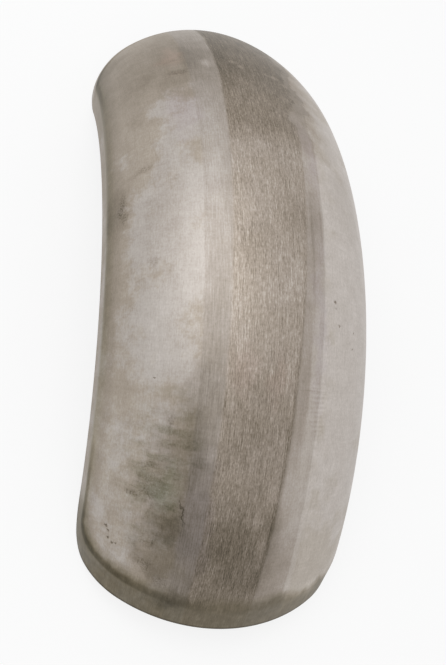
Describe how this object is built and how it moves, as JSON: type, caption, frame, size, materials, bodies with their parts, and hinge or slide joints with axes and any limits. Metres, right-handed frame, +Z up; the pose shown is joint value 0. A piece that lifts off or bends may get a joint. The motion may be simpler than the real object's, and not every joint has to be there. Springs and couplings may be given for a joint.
{
  "type": "motorcycle rear fender",
  "caption": "Arched raw steel rear fender pressed from one sheet, with a round crown, deep rounded sides and a bent-in border round the edge, to cover a motorcycle wheel.",
  "frame": {"origin": "middle of the fender on the surface that it stands on, under the crown, between its four lower corners", "axes": "+Z up to the crown, X fore and aft along the wheel's track, Y along the wheel axle"},
  "size_m": [0.5272, 0.2056, 0.1553],
  "materials": {
    "raw_steel": "bare rolled and brushed steel, oiled, with smudges and stains"
  },
  "bodies": {
    "root": {"fender_shell": "raw_steel"}
  },
  "joints": []
}
